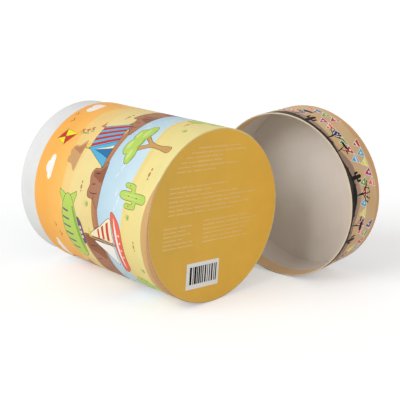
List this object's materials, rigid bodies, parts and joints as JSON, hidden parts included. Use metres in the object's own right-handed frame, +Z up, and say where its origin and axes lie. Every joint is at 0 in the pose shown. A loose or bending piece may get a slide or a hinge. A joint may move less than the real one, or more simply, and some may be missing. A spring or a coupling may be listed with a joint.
{
  "type": "cylindrical gift tube box",
  "caption": "Round paperboard gift tube lying on its side, with an inner neck tube and a lift-off lid standing on edge beside it.",
  "frame": {"origin": "centre of the tube's base face, on the tube's axis", "axes": "+Y along the tube's axis towards its mouth, +Z up, the lid on the +X side"},
  "size_m": [0.2004, 0.2312, 0.14],
  "materials": {
    "board": "matte grey board",
    "tube_print": "coated printed paper, satin",
    "base_print": "coated printed paper, satin",
    "white_lining": "uncoated white paper",
    "lid_print": "coated printed paper, satin",
    "lid_top_print": "coated printed paper, satin"
  },
  "bodies": {
    "tube": {"tube_wall": "board", "tube_wrap": "tube_print", "base_board": "board", "base_paper": "base_print", "floor_lining": "white_lining", "neck_tube": "board", "neck_facing": "white_lining", "neck_lining": "white_lining"},
    "lid": {"lid_wall": "board", "lid_wrap": "lid_print", "lid_top_board": "board", "lid_top_paper": "lid_top_print", "lid_lining": "white_lining", "lid_top_lining": "white_lining"}
  },
  "joints": [
    {"name": "lid_pull", "type": "slide", "parent": "tube", "child": "lid", "axis": [0.994, 0.1097, 0], "range_m": [0, 0.03]}
  ]
}
